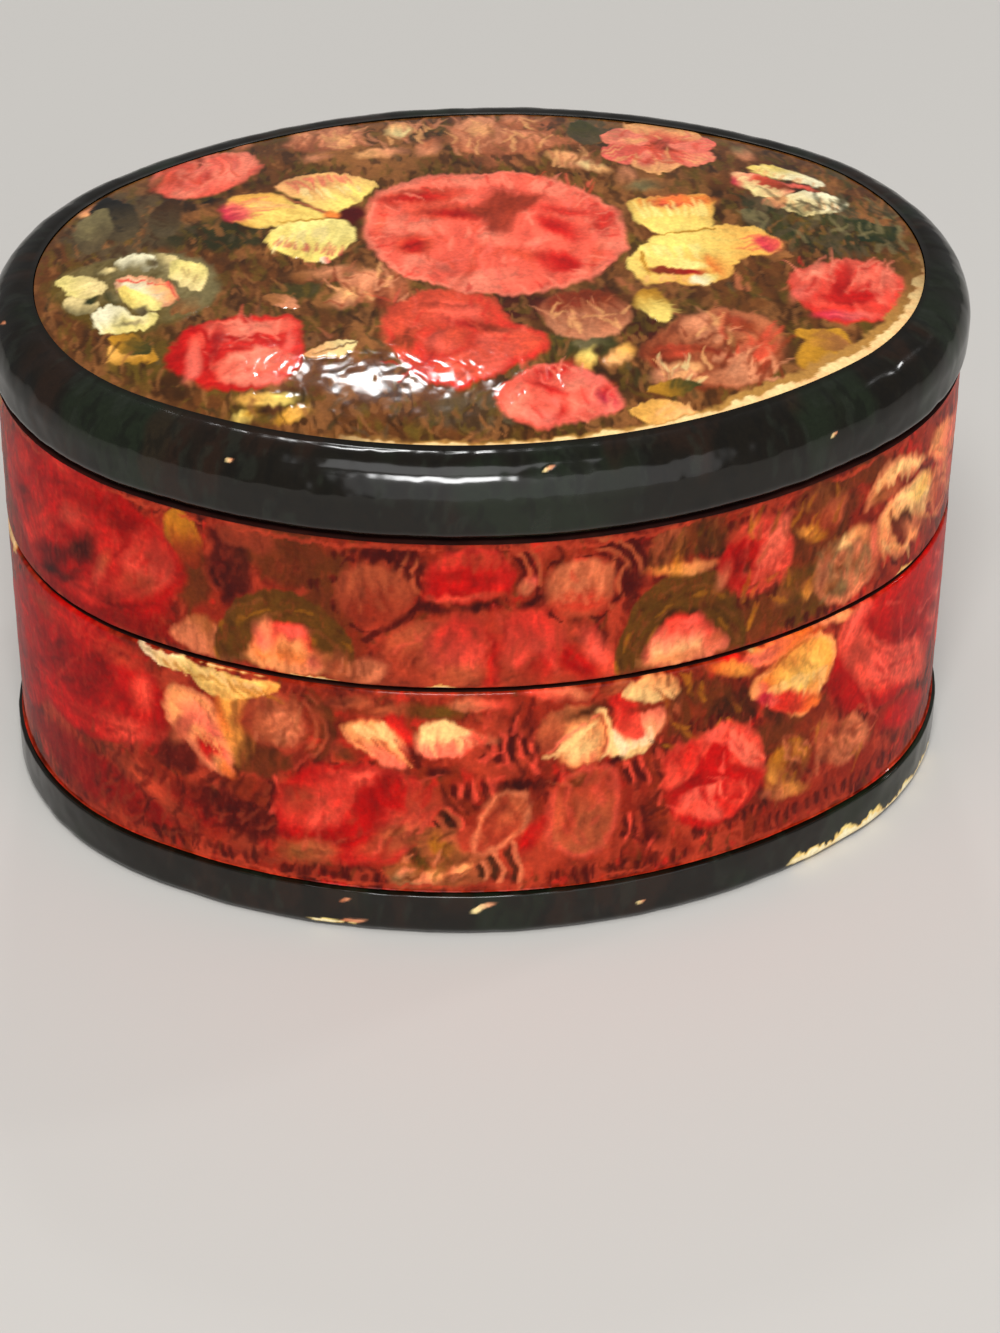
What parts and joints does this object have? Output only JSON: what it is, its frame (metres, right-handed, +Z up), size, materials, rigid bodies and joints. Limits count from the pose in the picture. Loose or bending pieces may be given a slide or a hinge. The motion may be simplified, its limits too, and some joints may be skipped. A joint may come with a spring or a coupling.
{
  "type": "trinket box",
  "caption": "Small oval lidded trinket box in painted and lacquered papier-mache, with a crowned lid, a bullnose rim and a lift-off fit over an inner collar.",
  "frame": {"origin": "centre of the oval on the ground plane that the foot stands on", "axes": "+X along the oval's long axis, +Y along its short axis, away from the pictured front, +Z up, the way the lid lifts off"},
  "size_m": [0.052, 0.0384, 0.0306],
  "materials": {
    "painted_wall": "gloss",
    "painted_field": "gloss",
    "black_lacquer": "gloss",
    "inner_lacquer": "satin"
  },
  "bodies": {
    "base": {"base_board": "black_lacquer", "foot_moulding": "black_lacquer", "base_wall": "painted_wall", "collar": "inner_lacquer"},
    "lid": {"lid_wall": "painted_wall", "lid_board": "painted_field", "rim_moulding": "black_lacquer"}
  },
  "joints": [
    {"name": "lid_lift", "type": "slide", "parent": "base", "child": "lid", "axis": [0, 0, 1], "range_m": [0, 0.03]}
  ]
}
